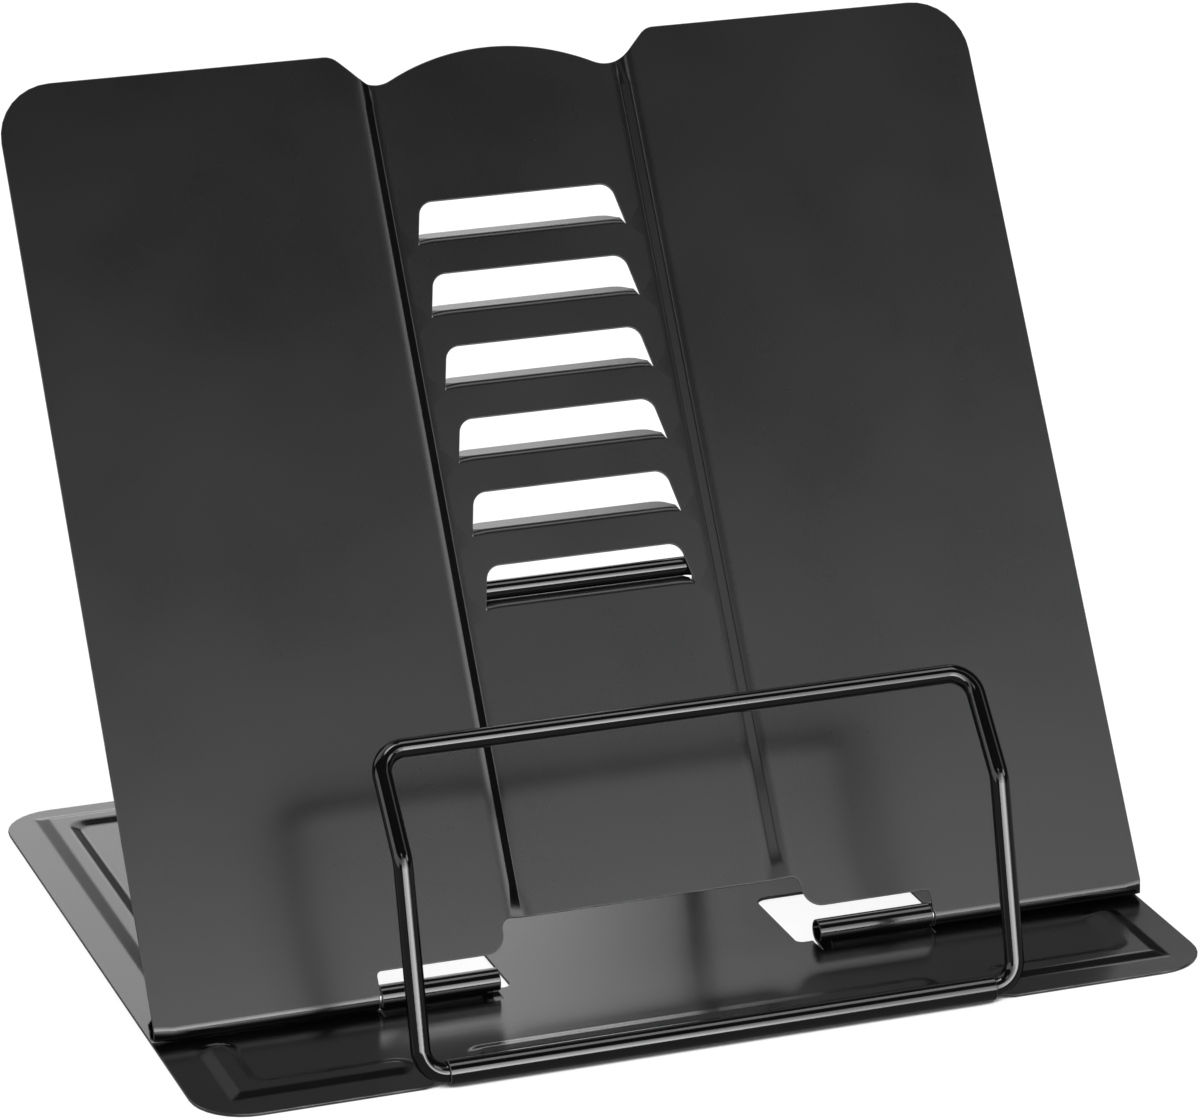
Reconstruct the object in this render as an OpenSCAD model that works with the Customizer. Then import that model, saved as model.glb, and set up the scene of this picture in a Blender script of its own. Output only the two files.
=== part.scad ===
// Folding metal book stand. A flat base plate carries a reclined back panel
// on two hinge pins, a wire support leg that stands under one of the six lips
// behind the panel, and a wire page holder along its front edge.
// X runs to the right, Y to the back and Z up, in millimetres. The origin is
// on the underside of the base plate, straight under the hinge line.

/* [Sheet and wire] */
// Thickness of the coated steel sheet
sheet_t = 0.45; // [0.35:0.05:0.6]
// Diameter of the wire of the pins, the page holder and the support leg
wire_d = 3.8; // [3.2:0.1:4.2]
// Radial clearance of a wire in a rolled barrel
roll_fit = 0.05; // [0.02:0.01:0.1]
// Centre line radius of the bends in the wires
wire_bend_r = 5; // [4:0.5:8]

/* [Base plate] */
// Width of the base plate and of the back panel above it
base_w = 205; // [180:1:240]
// Distance from the hinge line forward to the front edge
base_front = 37.2; // [36:0.1:50]
// Distance from the hinge line back to the rear edge
base_back = 124; // [118:1:150]
// Corner radius of the base plate
base_corner_r = 11; // [4:0.5:12]

/* [Stiffening rib] */
// Height of the pressed rib above the sheet
rib_h = 0.65; // [0.4:0.05:0.9]
// Width of the flat crest of the rib
rib_crest_w = 2.8; // [1.5:0.1:4]
// Run of each slope of the rib
rib_run = 2.45; // [1.5:0.05:3]
// Rib centre line to the side edges
rib_side_inset = 10.9; // [8:0.1:14]
// Rib centre line to the front edge
rib_front_inset = 10.5; // [9:0.1:13]
// Rib centre line to the rear edge
rib_back_inset = 8.3; // [6:0.1:11]
// Corner radius of the inner edge of the crest
rib_corner_r = 4.5; // [3.2:0.1:8]
// Half length of the middle run of the front rib
rib_mid_half = 48; // [30:1:52]
// Distance from the middle at which the outer front runs begin
rib_outer_start = 58.5; // [56:0.5:66]
// Half length of the break in the side ribs under the rolled hems
rib_break_half = 4; // [3:0.5:8]

/* [Back panel] */
// Height from the hinge line to the top edge, along the panel
panel_h = 187.6; // [186:0.5:230]
// Recline of the back panel from upright
recline = 31.4; // [28:0.1:34]
// Radius of the top corners
panel_corner_r = 11.5; // [4:0.5:16]
// Depth of the sunk middle strip
recess_depth = 1.7; // [1:0.1:2]
// Half width of the floor of the sunk strip
recess_half = 26.15; // [25:0.1:28]
// Run of the slope at each side of the sunk strip
recess_run = 2.2; // [1.5:0.1:2.6]
// Inside radius of the bends beside the sunk strip
recess_bend_r = 0.5; // [0.3:0.1:0.8]

/* [Top edge] */
// Drop from the top edge to the top of the middle hump
hump_drop = 0.5; // [0:0.1:2]
// Radius of the middle hump
hump_r = 48; // [44:0.5:56]
// Radius of the valleys beside the hump
valley_r = 6.3; // [4:0.1:8]
// Half distance between the shoulders beside the hump
shoulder_half = 33.35; // [31:0.05:36]
// Slope of the shoulders
shoulder_slope = 45; // [40:1:50]
// Radius of the shoulders
shoulder_r = 4; // [2:0.5:6]

/* [Slots and lips] */
// Number of slots
slot_count = 6; // [3:1:7]
// Height of the lowest slot above the hinge line, along the panel
slot_first = 72.4; // [68:0.1:76]
// Distance from one slot to the next
slot_pitch = 15.03; // [13:0.01:16]
// Height of a slot
slot_h = 8.55; // [7:0.05:10]
// Half width of a slot at its lower edge
slot_half = 21.9; // [20:0.1:23]
// Half width of a slot at its upper edge
slot_top_half = 20.1; // [17:0.1:20.5]
// Radius of the lower corners of a slot
slot_low_r = 0.8; // [0.4:0.1:1.5]
// Radius of the upper corners of a slot
slot_top_r = 3; // [1:0.5:3.5]
// Length of a lip, measured along the sheet from its bend
lip_len = 8.2; // [7:0.1:8.6]
// Rise of a lip above the square to the panel
lip_lift = 22.7; // [16:0.1:28]
// Outside radius of the bend of a lip
lip_bend_r = 1.6; // [1.2:0.1:2]
// Gap between a lip and the side of the slot it was cut from
lip_side_gap = 0.2; // [0.1:0.05:0.4]

/* [Lower cut-out] */
// Height of the cut-out above the hinge line, beside the hems
cut_low = 4.65; // [3.5:0.05:6]
// Height of the cut-out in its middle
cut_mid = 11.15; // [9:0.05:14]
// Half width of the cut-out between the hems
cut_half = 57.4; // [56:0.1:57.5]
// Half width of its higher middle
cut_mid_half = 31; // [29:0.1:33]
// Radius at the hems
cut_hem_r = 0.9; // [0.4:0.1:1.5]
// Radius of the outer step to the middle
cut_step_r = 4; // [1:0.5:4]
// Radius of the inner step to the middle
cut_mid_r = 2; // [0.5:0.1:2.2]

/* [Front hinge] */
// Gap between the rolled hems and the base plate
hem_gap = 0.1; // [0.1:0.05:0.3]
// Distance from the middle to the base knuckles
knuckle_in = 33.2; // [31.5:0.1:36]
// Length of a base knuckle
knuckle_len = 24; // [18:0.5:24]
// Side gap between a knuckle and the hem next to it
knuckle_gap = 0.4; // [0.3:0.1:0.8]
// Length of the ramp that lifts a knuckle off the plate
ramp_len = 3.5; // [2.5:0.5:6]
// Gap beside the ramp
ramp_gap = 0.3; // [0.2:0.1:0.6]
// Depth at which a pin ends inside its barrels
pin_recess = 3; // [0.5:0.5:6]
// Distance from the middle to the front windows
front_window_in = 29.9; // [28:0.1:31]
// Length of a front window
front_window_len = 31; // [29:0.1:32]
// Distance from the hinge line to the near edge of a front window
front_window_near = 1.6; // [1:0.1:3]
// Distance from the hinge line to the far edge of a front window
front_window_far = 25.5; // [18:0.1:28]
// Corner radius of the windows
window_r = 1.5; // [0.5:0.1:3]
// Radius of the far corners of a front window
front_window_far_r = 2.7; // [0.5:0.1:4]

/* [Page holder] */
// Distance from the front edge back to the sleeve axis
sleeve_inset = 0.6; // [0.2:0.1:1.2]
// Half length of the rolled sleeve
sleeve_half = 55.3; // [50:0.1:55.3]
// Half width of the wire loop on its centre line
holder_half = 60.1; // [60:0.1:62]
// Length of the lower part of the loop
holder_low = 40.7; // [30:0.5:50]
// Lean of the lower part from upright
holder_low_lean = 13.4; // [8:0.1:20]
// Length of the upper part of the loop
holder_high = 22.1; // [16:0.1:30]
// Lean of the upper part from upright
holder_high_lean = 42.35; // [30:0.1:50]
// Gap between the two wire ends inside the sleeve
holder_end_gap = 30; // [10:1:60]
// Distance from the middle to the outer end of the edge reliefs
relief_half = 59.8; // [59:0.1:62]
// Length of the slant of an edge relief
relief_run = 3.6; // [3:0.1:4]
// Depth of an edge relief
relief_depth = 1.9; // [1.5:0.1:3]

/* [Support leg] */
// Distance from the hinge line back to the pivot of the leg
leg_y = 95; // [92:0.5:98]
// Half width of the leg at its pivot
leg_foot_half = 40.1; // [40:0.1:42]
// Half width of the leg at its top bar
leg_bar_half = 25; // [24:0.1:26]
// Clearance between the top bar and the lip and panel that it rests on
seat_gap = 0.1; // [0.05:0.05:0.2]
// Distance from the middle to the leg knuckles
leg_knuckle_in = 16; // [15:0.5:18]
// Length of a leg knuckle
leg_knuckle_len = 18; // [12:0.5:18]
// Distance from the middle to the wire ends of the leg
leg_end_in = 14; // [12:0.5:15]
// Distance from the middle to the rear windows
rear_window_in = 12.5; // [11:0.5:14]
// Length of a rear window
rear_window_len = 31.5; // [31:0.5:33]
// Reach of a rear window forward of the leg pivot
rear_window_reach = 14.5; // [13:0.5:18]

/* [Hidden] */
$fn = 64;
// Number of straight steps in a drawn corner
corner_steps = 8;
// Open angle of the seam of a rolled barrel
seam_angle = 50;
// Open angle of the seam of a rolled hem
hem_seam_angle = 58;
// Quarter turn, from the run of a sheet to its bend axis
quarter = 90;
// Overrun of every cut past the face it leaves
over = 1;
// Length by which a straight runs on into the bend or barrel next to it
lap = 0.15;
// Step by which the run-on part lies inside the skin of the bend
lap_step = 0.01;
// Inside and outside radius of every rolled barrel
roll_in_r = wire_d / 2 + roll_fit;
roll_out_r = roll_in_r + sheet_t;
// Height of the hinge line
hinge_z = sheet_t + hem_gap + roll_out_r;
// Width of the back panel
panel_w = base_w;
// Half width of the foot of the rib
rib_foot = rib_crest_w / 2 + rib_run;
// Rib centre lines
rib_x = base_w / 2 - rib_side_inset;
rib_front_y = rib_front_inset - base_front;
rib_back_y = base_back - rib_back_inset;
// Sleeve axis
sleeve_y = sleeve_inset - base_front;
sleeve_z = roll_out_r;
// Leg pivot
leg_z = roll_out_r;
// Front face of the wings and of the sunk strip, from the hinge line
wing_n = roll_out_r;
strip_n = wing_n - recess_depth;
// Start of the hems
hem_in = knuckle_in + knuckle_len + knuckle_gap;
// Seat of the bar, seen square to the panel
bar_depth = sheet_t + wire_d / 2 + seat_gap;
bar_lift = lip_bend_r + wire_d / 2 + seat_gap;
bar_rise = (bar_lift + (bar_depth - lip_bend_r) * sin(lip_lift)) / cos(lip_lift);
bar_s = slot_first + bar_rise;
bar_n = strip_n - bar_depth;
bar_y = bar_s * sin(recline) - bar_n * cos(recline);
bar_z = hinge_z + bar_s * cos(recline) + bar_n * sin(recline);
// Length and rise of the support leg between its pivot and its bar
leg_len = norm([leg_y - bar_y, bar_z - leg_z]);
leg_rise = atan2(bar_z - leg_z, leg_y - bar_y);

// Unit vector along v
function unit(v) = v / norm(v);

// Turn from direction a to direction b, between minus and plus half a turn
function turn(a, b) = atan2(a[0] * b[1] - a[1] * b[0], a * b);

// Centre of the round of radius r at corner p between a and b
function round_centre(a, p, b, r) =
    let (u = unit(a - p), v = unit(b - p))
    p + unit(u + v) * r / sin(acos(u * v) / 2);

// Length that a round of radius r takes off each side of corner p
function round_reach(a, p, b, r) =
    r / tan(acos(unit(a - p) * unit(b - p)) / 2);

// Points of an arc about c from start point p through angle w
function arc(c, p, w) = [
    for (i = [0 : corner_steps])
        let (a = w * i / corner_steps, d = p - c)
        c + [d[0] * cos(a) - d[1] * sin(a), d[0] * sin(a) + d[1] * cos(a)]
];

// Points of the round at corner p, or p itself where r is zero
function round_points(a, p, b, r) =
    r == 0
    ? [p]
    : let (c = round_centre(a, p, b, r))
      let (d = round_reach(a, p, b, r))
      let (start = p + unit(a - p) * d, end = p + unit(b - p) * d)
      arc(c, start, turn(start - c, end - c));

// Closed outline with a radius at each corner, as [point, radius] pairs
function rounded(corners) = let (n = len(corners)) [
    for (i = [0 : n - 1])
        let (a = corners[(i + n - 1) % n][0], b = corners[(i + 1) % n][0])
        each round_points(a, corners[i][0], b, corners[i][1])
];

// Points mirrored to the left side, in turned order
function left_of(points) = [
    for (i = [len(points) - 1 : -1 : 0]) [-points[i][0], points[i][1]]
];

// Corners mirrored to the left side, in turned order
function left_corners(corners) = [
    for (i = [len(corners) - 1 : -1 : 0])
        [[-corners[i][0][0], corners[i][0][1]], corners[i][1]]
];

// Box between two corners
module block(a, b) {
    translate(a)
        cube(b - a);
}

// The same piece on the right and on the left
module both_sides() {
    children();
    mirror([1, 0, 0])
        children();
}

// Rolled barrel along X, from the start angle through the given turn
module barrel(from_x, length, start, sweep) {
    translate([from_x, 0, 0])
        rotate([quarter, 0, quarter])
        rotate([0, 0, start])
        rotate_extrude(angle = sweep)
        translate([roll_in_r, 0])
        square([sheet_t, length]);
}

// Straight wire from a to b in the XY plane, let into the bends at its ends
module wire_line(a, b, lap_a, lap_b) {
    start = a - unit(b - a) * lap_a;
    translate([start[0], start[1], 0])
        rotate([0, 0, atan2(b[1] - a[1], b[0] - a[0])])
        rotate([0, quarter, 0])
        cylinder(h = norm(b - a) + lap_a + lap_b, d = wire_d - 2 * lap_step);
}

// Bend of the wire about c from point p through angle w in the XY plane
module wire_bend(c, p, w) {
    lead = w < 0 ? w : 0;
    translate([c[0], c[1], 0])
        rotate([0, 0, atan2(p[1] - c[1], p[0] - c[0]) + lead])
        rotate_extrude(angle = abs(w))
        translate([norm(p - c), 0])
        circle(d = wire_d);
}

// Wire through the points, bent at each inner one; an end that runs into
// another bend is let into it
module wire_path(points, lap_first = 0, lap_last = 0) {
    last = len(points) - 1;
    for (i = [1 : last]) {
        a = points[i - 1];
        b = points[i];
        d = unit(b - a);
        cut_a = i == 1 ? 0 : round_reach(points[i - 2], a, b, wire_bend_r);
        cut_b = i == last ? 0 : round_reach(a, b, points[i + 1], wire_bend_r);
        lap_a = i == 1 ? lap_first : lap;
        lap_b = i == last ? lap_last : lap;
        wire_line(a + d * cut_a, b - d * cut_b, lap_a, lap_b);
    }
    for (i = [1 : 1 : last - 1]) {
        a = points[i - 1];
        p = points[i];
        b = points[i + 1];
        c = round_centre(a, p, b, wire_bend_r);
        reach = round_reach(a, p, b, wire_bend_r);
        wire_bend(c, p + unit(a - p) * reach, turn(p - a, b - p));
    }
}

// Section of the outer slopes of the rib, from foot to crest
module rib_section(foot_a, foot_b) {
    polygon([
        [foot_a, -over],
        [foot_b, -over],
        [foot_b, 0],
        [foot_b - rib_run, rib_h],
        [foot_a + rib_run, rib_h],
        [foot_a, 0]
    ]);
}

// Section of the pit inside the rib, open at its top
module pit_section(foot_a, foot_b) {
    polygon([
        [foot_a, -2 * over],
        [foot_b, -2 * over],
        [foot_b, 0],
        [foot_b + rib_run, rib_h],
        [foot_b + rib_run, rib_h + over],
        [foot_a - rib_run, rib_h + over],
        [foot_a - rib_run, rib_h],
        [foot_a, 0]
    ]);
}

// Section in X and Z carried along Y between two places
module along_y(from_y, to_y) {
    translate([0, to_y, 0])
        rotate([quarter, 0, 0])
        linear_extrude(to_y - from_y)
        children();
}

// Section in Y and Z carried along X between two places
module along_x(from_x, to_x) {
    translate([from_x, 0, 0])
        rotate([quarter, 0, quarter])
        linear_extrude(to_x - from_x)
        children();
}

// Solid under the outer slopes, with mitred corners
module rib_plateau() {
    intersection() {
        along_y(rib_front_y - rib_foot - over, rib_back_y + rib_foot + over)
            rib_section(-rib_x - rib_foot, rib_x + rib_foot);
        along_x(-rib_x - rib_foot - over, rib_x + rib_foot + over)
            rib_section(rib_front_y - rib_foot, rib_back_y + rib_foot);
    }
}

// Round corner of the pit
module pit_corner() {
    pit_foot_r = rib_corner_r - rib_run;
    translate([0, 0, -2 * over])
        cylinder(h = 2 * over, r = pit_foot_r);
    cylinder(h = rib_h, r1 = pit_foot_r, r2 = rib_corner_r);
    translate([0, 0, rib_h])
        cylinder(h = over, r = rib_corner_r);
}

// Space inside the rib, with round corners
module rib_pit() {
    inset = rib_crest_w / 2 + rib_corner_r;
    near = rib_front_y + inset;
    far = rib_back_y - inset;
    side = rib_x - inset;
    pit_foot_r = rib_corner_r - rib_run;
    along_y(near, far)
        pit_section(-side - pit_foot_r, side + pit_foot_r);
    along_x(-side, side)
        pit_section(near - pit_foot_r, far + pit_foot_r);
    for (x = [-side, side])
        for (y = [near, far])
            translate([x, y, 0])
                pit_corner();
}

// Round end of a run of the rib
module rib_end(x, y) {
    translate([x, y, -over])
        cylinder(h = over, r = rib_foot);
    translate([x, y, 0])
        cylinder(h = rib_h, r1 = rib_foot, r2 = rib_crest_w / 2);
}

// The raised rib as a solid on the plane z = 0
module rib_solid() {
    break_y = rib_break_half + rib_foot;
    mid_x = rib_mid_half - rib_foot;
    outer_x = rib_outer_start + rib_foot;
    top = rib_h + over;
    difference() {
        rib_plateau();
        rib_pit();
        both_sides() {
            block(
                [mid_x, rib_front_y - 2 * rib_foot, -2 * over],
                [outer_x, rib_front_y + 2 * rib_foot, top]
            );
            block(
                [rib_x - 2 * rib_foot, -break_y, -2 * over],
                [rib_x + 2 * rib_foot, break_y, top]
            );
        }
    }
    both_sides() {
        rib_end(mid_x, rib_front_y);
        rib_end(outer_x, rib_front_y);
        rib_end(rib_x, break_y);
        rib_end(rib_x, -break_y);
    }
}

// Right half of the outline of the base plate
base_corners = [
    [[base_w / 2, base_back], base_corner_r],
    [[base_w / 2, -base_front], base_corner_r],
    [[relief_half, -base_front], 0],
    [[relief_half - relief_run, relief_depth - base_front], 0],
    [[sleeve_half, relief_depth - base_front], 0],
    [[sleeve_half, sleeve_y], 0]
];

// Rounded rectangle between two corners, with a radius for its near and far side
module window(a, b, near_r, far_r) {
    polygon(rounded([
        [a, near_r],
        [[b[0], a[1]], near_r],
        [b, far_r],
        [[a[0], b[1]], far_r]
    ]));
}

// Flat outline of the base plate with its windows
module base_outline() {
    rear_a = [rear_window_in, leg_y - rear_window_reach];
    front_a = [front_window_in, front_window_near];
    difference() {
        polygon(rounded(concat(base_corners, left_corners(base_corners))));
        both_sides() {
            window(
                front_a,
                [front_window_in + front_window_len, front_window_far],
                window_r,
                front_window_far_r
            );
            translate([knuckle_in - ramp_gap, -ramp_len])
                square([
                    knuckle_len + 2 * ramp_gap,
                    ramp_len + front_window_near + window_r
                ]);
            window(
                rear_a,
                [rear_window_in + rear_window_len, leg_y],
                window_r,
                window_r
            );
        }
    }
}

// Barrel rolled forward and up from the front edge of the sheet below it
module forward_barrel(from_x, length, y) {
    translate([0, y, roll_out_r])
        barrel(from_x, length, -quarter, seam_angle - 360);
}

// Knuckle of the front hinge, rolled backward, with the ramp that lifts it
module front_knuckle() {
    rise = hinge_z - roll_out_r;
    translate([0, 0, hinge_z])
        barrel(knuckle_in, knuckle_len, -quarter, 360 - seam_angle);
    along_x(knuckle_in, knuckle_in + knuckle_len)
        polygon([
            [-ramp_len - sheet_t, 0],
            [-ramp_len, 0],
            [0, rise],
            [0, rise + sheet_t],
            [-ramp_len, sheet_t],
            [-ramp_len - sheet_t, sheet_t]
        ]);
}

// Pressed base plate with its knuckles and its sleeve, one sheet
module base_plate() {
    color([0.05, 0.05, 0.055])
        union() {
            difference() {
                intersection() {
                    union() {
                        block(
                            [-base_w, -2 * base_front, 0],
                            [base_w, 2 * base_back, sheet_t]
                        );
                        translate([0, 0, sheet_t])
                            rib_solid();
                    }
                    linear_extrude(sheet_t + rib_h + over)
                        base_outline();
                }
                rib_solid();
            }
            forward_barrel(-sleeve_half, 2 * sleeve_half, sleeve_y);
            both_sides() {
                front_knuckle();
                forward_barrel(leg_knuckle_in, leg_knuckle_len, leg_y);
            }
        }
}

// Direction of the shoulder slope and the round of the valley beside the hump
shoulder_dir = [cos(shoulder_slope), sin(shoulder_slope)];
shoulder_point = [shoulder_half, panel_h];
hump_centre = [0, panel_h - hump_drop - hump_r];
valley_base = shoulder_point + valley_r * [-shoulder_dir[1], shoulder_dir[0]] - hump_centre;
valley_along = valley_base * shoulder_dir;
valley_square = valley_along * valley_along - valley_base * valley_base;
valley_back = valley_along - sqrt(valley_square + pow(hump_r + valley_r, 2));
valley_centre = hump_centre + valley_base - valley_back * shoulder_dir;
valley_start = valley_centre + valley_r * [shoulder_dir[1], -shoulder_dir[0]];
valley_end = valley_centre + valley_r * unit(hump_centre - valley_centre);
hump_half_angle = atan2(valley_end[0] - hump_centre[0], valley_end[1] - hump_centre[1]);

// Right half of the edge of the panel, from its lower middle to its top middle
panel_right = concat(
    round_points([0, cut_mid], [cut_mid_half, cut_mid], [cut_mid_half, cut_low], cut_mid_r),
    round_points(
        [cut_mid_half, cut_mid],
        [cut_mid_half, cut_low],
        [cut_half, cut_low],
        cut_step_r
    ),
    round_points([cut_mid_half, cut_low], [cut_half, cut_low], [cut_half, 0], cut_hem_r),
    [[cut_half, 0], [panel_w / 2, 0]],
    round_points(
        [panel_w / 2, 0],
        [panel_w / 2, panel_h],
        [0, panel_h],
        panel_corner_r
    ),
    round_points(
        [panel_w / 2, panel_h],
        shoulder_point,
        shoulder_point - shoulder_dir,
        shoulder_r
    ),
    arc(valley_centre, valley_start, -turn(valley_end - valley_centre, valley_start - valley_centre)),
    [
        for (i = [1 : corner_steps - 1])
            let (a = hump_half_angle * (1 - i / corner_steps))
            hump_centre + hump_r * [sin(a), cos(a)]
    ],
    [hump_centre + [0, hump_r]]
);

// Sheet section on one side: floor, slope and wing, as seen along the panel
recess_slope = atan2(recess_depth, recess_run);
floor_bend_x = recess_half - recess_bend_r * tan(recess_slope / 2);
wing_bend_r = recess_bend_r + sheet_t;
wing_bend_x = recess_half + recess_run + wing_bend_r * tan(recess_slope / 2);

// Points of one face of the section; shift is zero at the front, one at the back
function strip_face(shift) = concat(
    [[0, strip_n - shift * sheet_t]],
    [
        for (i = [0 : corner_steps])
            let (a = recess_slope * i / corner_steps)
            [floor_bend_x, strip_n + recess_bend_r]
            + (recess_bend_r + shift * sheet_t) * [sin(a), -cos(a)]
    ],
    [
        for (i = [corner_steps : -1 : 0])
            let (a = recess_slope * i / corner_steps)
            [wing_bend_x, wing_n - wing_bend_r]
            + (wing_bend_r - shift * sheet_t) * [-sin(a), cos(a)]
    ],
    [[panel_w / 2 + over, wing_n - shift * sheet_t]]
);

// Panel sheet with its sunk strip, before the slots
module panel_sheet() {
    front = strip_face(0);
    back = strip_face(1);
    half = concat(front, [for (i = [len(back) - 1 : -1 : 0]) back[i]]);
    intersection() {
        union()
            both_sides()
                along_y(-over, panel_h + over)
                polygon(half);
        translate([0, 0, strip_n - sheet_t - over])
            linear_extrude(wing_n - strip_n + sheet_t + 2 * over)
            polygon(concat(panel_right, left_of(panel_right)));
    }
}

// Outline of a slot whose lower edge lies on the X axis
module slot_outline() {
    polygon(rounded([
        [[-slot_half, 0], slot_low_r],
        [[slot_half, 0], slot_low_r],
        [[slot_top_half, slot_h], slot_top_r],
        [[-slot_top_half, slot_h], slot_top_r]
    ]));
}

// Lip bent back from the lower edge of a slot
module lip() {
    bend = quarter - lip_lift;
    mid_r = lip_bend_r - sheet_t / 2;
    flat_len = lip_len - mid_r * bend * PI / (2 * quarter);
    centre = [0, strip_n - lip_bend_r];
    run = [cos(bend), -sin(bend)];
    inner_r = lip_bend_r - sheet_t;
    outer_arc = arc(centre, centre + [0, lip_bend_r], -bend);
    inner_arc = arc(centre, centre + [0, inner_r], -bend);
    tip_out = outer_arc[corner_steps] + flat_len * run;
    tip_in = inner_arc[corner_steps] + flat_len * run;
    reach = strip_n - tip_in[1];
    root_half = slot_half - lip_side_gap;
    tip_half = slot_top_half - lip_side_gap;
    intersection() {
        along_x(-slot_half, slot_half)
            polygon(concat(
                [[-over, strip_n]],
                outer_arc,
                [tip_out, tip_in],
                [for (i = [corner_steps : -1 : 0]) inner_arc[i]],
                [[-over, strip_n - sheet_t]]
            ));
        translate([0, lip_len, strip_n])
            rotate([quarter, 0, 0])
            linear_extrude(lip_len + 2 * over)
            polygon(rounded([
                [[-root_half, over], 0],
                [[-root_half, -sheet_t], 0],
                [[-tip_half, -reach], slot_top_r],
                [[tip_half, -reach], slot_top_r],
                [[root_half, -sheet_t], 0],
                [[root_half, over], 0]
            ]));
    }
}

// Reclined back panel: two wings, a sunk middle strip, six slots with lips
// and a rolled hem at the foot of each wing, one sheet
module back_panel() {
    hem_len = panel_w / 2 - hem_in;
    color([0.06, 0.06, 0.065])
        translate([0, 0, hinge_z])
        rotate([quarter - recline, 0, 0])
        union() {
            difference() {
                panel_sheet();
                for (i = [0 : slot_count - 1])
                    translate([0, slot_first + i * slot_pitch, strip_n - sheet_t - over])
                        linear_extrude(recess_depth + sheet_t + 2 * over)
                        slot_outline();
            }
            for (i = [0 : slot_count - 1])
                translate([0, slot_first + i * slot_pitch, 0])
                    lip();
            both_sides()
                barrel(hem_in, hem_len, quarter, 360 - hem_seam_angle);
        }
}

// Hinge pin on the right side
module right_pin() {
    start = knuckle_in + pin_recess;
    translate([start, 0, hinge_z])
        rotate([0, quarter, 0])
        cylinder(h = panel_w / 2 - pin_recess - start, d = wire_d);
}

// Left hinge pin, inside the left knuckle and the left hem
module hinge_pin_left() {
    color([0.35, 0.35, 0.36])
        mirror([1, 0, 0])
        right_pin();
}

// Right hinge pin, inside the right knuckle and the right hem
module hinge_pin_right() {
    color([0.35, 0.35, 0.36])
        right_pin();
}

// Wire page holder: a loop that leans back in two steps, with its two ends
// turned into the sleeve of the base plate
module page_holder() {
    kink = holder_high_lean - holder_low_lean;
    kink_reach = wire_bend_r * tan(kink / 2);
    kink_y = holder_low * sin(holder_low_lean);
    kink_z = holder_low * cos(holder_low_lean);
    color([0.07, 0.07, 0.075])
        translate([0, sleeve_y, sleeve_z]) {
            rotate([quarter - holder_low_lean, 0, 0])
                both_sides()
                wire_path(
                    [
                        [holder_end_gap / 2, 0],
                        [holder_half, 0],
                        [holder_half, holder_low - kink_reach]
                    ],
                    0,
                    lap
                );
            both_sides()
                translate([holder_half, kink_y, kink_z])
                rotate([0, 0, quarter])
                rotate([quarter, 0, 0])
                wire_bend(
                    wire_bend_r * [cos(holder_low_lean), -sin(holder_low_lean)]
                    - kink_reach * [sin(holder_low_lean), cos(holder_low_lean)],
                    -kink_reach * [sin(holder_low_lean), cos(holder_low_lean)],
                    -kink
                );
            translate([0, kink_y, kink_z])
                rotate([quarter - holder_high_lean, 0, 0])
                wire_path(
                    [
                        [-holder_half, kink_reach],
                        [-holder_half, holder_high],
                        [holder_half, holder_high],
                        [holder_half, kink_reach]
                    ],
                    lap,
                    lap
                );
        }
}

// Wire support leg: two splayed legs joined by the bar that rests on a lip,
// with its two feet turned inward into the leg knuckles
module support_leg() {
    color([0.07, 0.07, 0.075])
        translate([0, leg_y, leg_z])
        rotate([quarter + quarter - leg_rise, 0, 0])
        wire_path([
            [leg_end_in, 0],
            [leg_foot_half, 0],
            [leg_bar_half, leg_len],
            [-leg_bar_half, leg_len],
            [-leg_foot_half, 0],
            [-leg_end_in, 0]
        ]);
}

base_plate();
back_panel();
hinge_pin_left();
hinge_pin_right();
page_holder();
support_leg();
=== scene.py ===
"""Folding metal book stand: looks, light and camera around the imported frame."""
import math

import bpy
import numpy as np
from mathutils import Matrix, Vector
from mathutils.geometry import delaunay_2d_cdt


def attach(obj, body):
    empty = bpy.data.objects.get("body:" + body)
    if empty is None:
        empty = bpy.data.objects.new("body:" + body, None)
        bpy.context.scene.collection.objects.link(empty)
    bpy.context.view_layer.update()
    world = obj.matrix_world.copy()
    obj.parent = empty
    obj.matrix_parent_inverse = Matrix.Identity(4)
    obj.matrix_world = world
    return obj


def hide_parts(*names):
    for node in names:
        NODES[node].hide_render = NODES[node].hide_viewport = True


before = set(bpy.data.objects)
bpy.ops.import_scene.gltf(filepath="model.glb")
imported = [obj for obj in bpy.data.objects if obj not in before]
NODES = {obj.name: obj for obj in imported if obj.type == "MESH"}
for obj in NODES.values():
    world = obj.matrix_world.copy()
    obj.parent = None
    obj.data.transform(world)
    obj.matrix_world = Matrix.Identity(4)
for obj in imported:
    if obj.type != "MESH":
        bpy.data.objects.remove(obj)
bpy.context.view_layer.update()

# Camera
CAM_AT = Vector((-0.33491, -0.92213, 0.42509))
CAM_LOOK = Vector((0.31293, 0.89146, -0.32769)).normalized()
CAM_ROLL = math.radians(-0.6306)
CAM_LENS_MM = 163.48
SENSOR_MM = 36


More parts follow.
